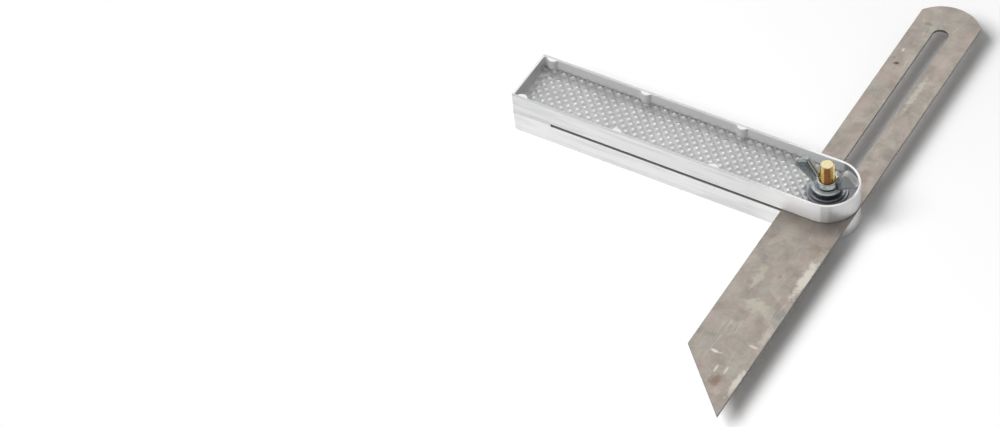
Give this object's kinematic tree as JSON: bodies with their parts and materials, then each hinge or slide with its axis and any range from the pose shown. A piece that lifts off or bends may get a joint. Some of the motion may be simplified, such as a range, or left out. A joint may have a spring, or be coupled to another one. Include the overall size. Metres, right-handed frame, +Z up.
{
  "type": "sliding bevel",
  "caption": "Adjustable angle-transfer tool: a slotted blade swings and slides in a metal stock and locks with a wing nut.",
  "frame": {"origin": "middle of the object's base at rest, on the plane of the stock's lower rim", "axes": "+Z up along the pivot, away from the lower rim; -X towards the stock's butt; +Y towards the blade's round end at rest"},
  "size_m": [0.1606, 0.254, 0.0318],
  "materials": {
    "cast_aluminium": "bright die-cast with checkered tray floors",
    "tarnished_steel": "dull, lightly tarnished ground steel",
    "brass": "turned, threaded",
    "washer_steel": "plain",
    "dark_plating": "glossy dark nickel plating"
  },
  "bodies": {
    "stock": {"stock": "cast_aluminium"},
    "clamp_screw": {"clamp_screw": "brass"},
    "blade": {"blade": "tarnished_steel"},
    "nut_washer": {"nut_washer": "washer_steel"},
    "wing_nut": {"wing_nut": "dark_plating"}
  },
  "joints": [
    {"name": "blade_swing", "type": "hinge", "parent": "stock", "child": "clamp_screw", "pos_m": [0.06565, -0.0016, 0.0105], "axis": [0, 0, 1], "range_deg": [-75, 75]},
    {"name": "blade_slide", "type": "slide", "parent": "clamp_screw", "child": "blade", "axis": [0, -1, 0], "range_m": [0, 0.1075]},
    {"name": "nut_lift", "type": "slide", "parent": "clamp_screw", "child": "nut_washer", "axis": [0, 0, 1], "range_m": [0, 0.00254]},
    {"name": "nut_turn", "type": "hinge", "parent": "nut_washer", "child": "wing_nut", "pos_m": [0.06565, -0.0016, 0.02], "axis": [0, 0, 1], "range_deg": [0, 720]}
  ],
  "couplings": [
    {"joint": "nut_lift", "follows": "nut_turn", "m_per_rad": 0.00020212}
  ]
}
